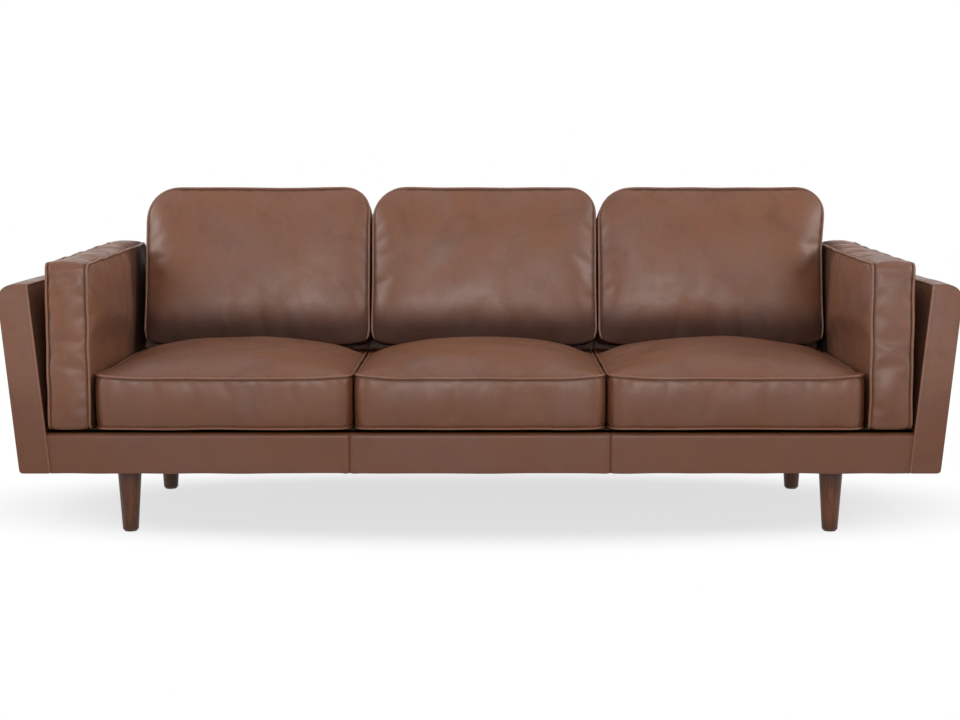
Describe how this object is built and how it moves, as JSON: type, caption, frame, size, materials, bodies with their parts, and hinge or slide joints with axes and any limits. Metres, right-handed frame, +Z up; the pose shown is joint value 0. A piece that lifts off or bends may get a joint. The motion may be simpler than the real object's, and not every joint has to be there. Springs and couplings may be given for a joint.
{
  "type": "three-seat sofa",
  "caption": "Leather sofa with leaning padded arms, loose boxed seat, back and arm cushions with piping, and turned wooden legs.",
  "frame": {"origin": "on the floor, under the middle of the sofa's bounding box", "axes": "+X along the sofa to its right as seen from the front, -Y to its front, +Z up"},
  "size_m": [2.4396, 0.9397, 0.886],
  "materials": {
    "leather": "waxed aniline leather, warm brown with darker and greyer mottling, soft satin",
    "piping_leather": "the same leather rolled over a cord, slightly darker",
    "leg_wood": "turned hardwood, walnut stain, satin lacquer",
    "glide_plastic": "black moulded glide",
    "frame_wood": "unfinished sawn hardwood",
    "steel": "zinc-plated",
    "wadding": "needled felt",
    "webbing": "woven elastic webbing",
    "deck_cloth": "dark brown woven deck cloth",
    "dust_cloth": "black non-woven dust cover",
    "foam": "cushion foam in a fibre wrap"
  },
  "bodies": {
    "sofa_frame": {"leg_front_left": "leg_wood", "leg_front_right": "leg_wood", "leg_rear_left": "leg_wood", "leg_rear_right": "leg_wood", "glide_front_left": "glide_plastic", "glide_front_right": "glide_plastic", "glide_rear_left": "glide_plastic", "glide_rear_right": "glide_plastic", "hanger_bolts": "steel", "leg_plates": "steel", "leg_screws": "steel", "leg_rails": "frame_wood", "front_rail": "frame_wood", "rear_rails": "frame_wood", "side_rails": "frame_wood", "stretchers": "frame_wood", "corner_blocks": "frame_wood", "arm_rails": "frame_wood", "arm_posts": "frame_wood", "back_rails": "frame_wood", "back_posts": "frame_wood", "seat_springs": "steel", "spring_clips": "steel", "deck_pad": "wadding", "seat_deck": "deck_cloth", "dust_cover": "dust_cloth", "apron_cover": "leather", "arm_cover_left": "leather", "arm_cover_right": "leather", "arm_piping": "piping_leather", "arm_bolts": "steel", "back_cover": "leather", "back_webbing": "webbing"},
    "seat_left_cushion": {"seat_left_cover": "leather", "seat_left_core": "foam", "seat_left_piping": "piping_leather"},
    "seat_middle_cushion": {"seat_middle_cover": "leather", "seat_middle_core": "foam", "seat_middle_piping": "piping_leather"},
    "seat_right_cushion": {"seat_right_cover": "leather", "seat_right_core": "foam", "seat_right_piping": "piping_leather"},
    "back_left_cushion": {"back_left_cover": "leather", "back_left_core": "foam", "back_left_piping": "piping_leather"},
    "back_middle_cushion": {"back_middle_cover": "leather", "back_middle_core": "foam", "back_middle_piping": "piping_leather"},
    "back_right_cushion": {"back_right_cover": "leather", "back_right_core": "foam", "back_right_piping": "piping_leather"},
    "arm_left_cushion": {"arm_left_cover": "leather", "arm_left_core": "foam", "arm_left_piping": "piping_leather"},
    "arm_right_cushion": {"arm_right_cover": "leather", "arm_right_core": "foam", "arm_right_piping": "piping_leather"}
  },
  "joints": [
    {"name": "seat_left_out", "type": "slide", "parent": "sofa_frame", "child": "seat_left_cushion", "axis": [0, -0.995, 0.0995], "range_m": [0, 0.65]},
    {"name": "seat_middle_out", "type": "slide", "parent": "sofa_frame", "child": "seat_middle_cushion", "axis": [0, -0.995, 0.0995], "range_m": [0, 0.65]},
    {"name": "seat_right_out", "type": "slide", "parent": "sofa_frame", "child": "seat_right_cushion", "axis": [0, -0.995, 0.0995], "range_m": [0, 0.65]},
    {"name": "back_left_lift", "type": "slide", "parent": "sofa_frame", "child": "back_left_cushion", "axis": [0, 0, 1], "range_m": [0, 0.45]},
    {"name": "back_middle_lift", "type": "slide", "parent": "sofa_frame", "child": "back_middle_cushion", "axis": [0, 0, 1], "range_m": [0, 0.45]},
    {"name": "back_right_lift", "type": "slide", "parent": "sofa_frame", "child": "back_right_cushion", "axis": [0, 0, 1], "range_m": [0, 0.45]},
    {"name": "arm_left_lift", "type": "slide", "parent": "sofa_frame", "child": "arm_left_cushion", "axis": [0, 0, 1], "range_m": [0, 0.45]},
    {"name": "arm_right_lift", "type": "slide", "parent": "sofa_frame", "child": "arm_right_cushion", "axis": [0, 0, 1], "range_m": [0, 0.45]}
  ]
}
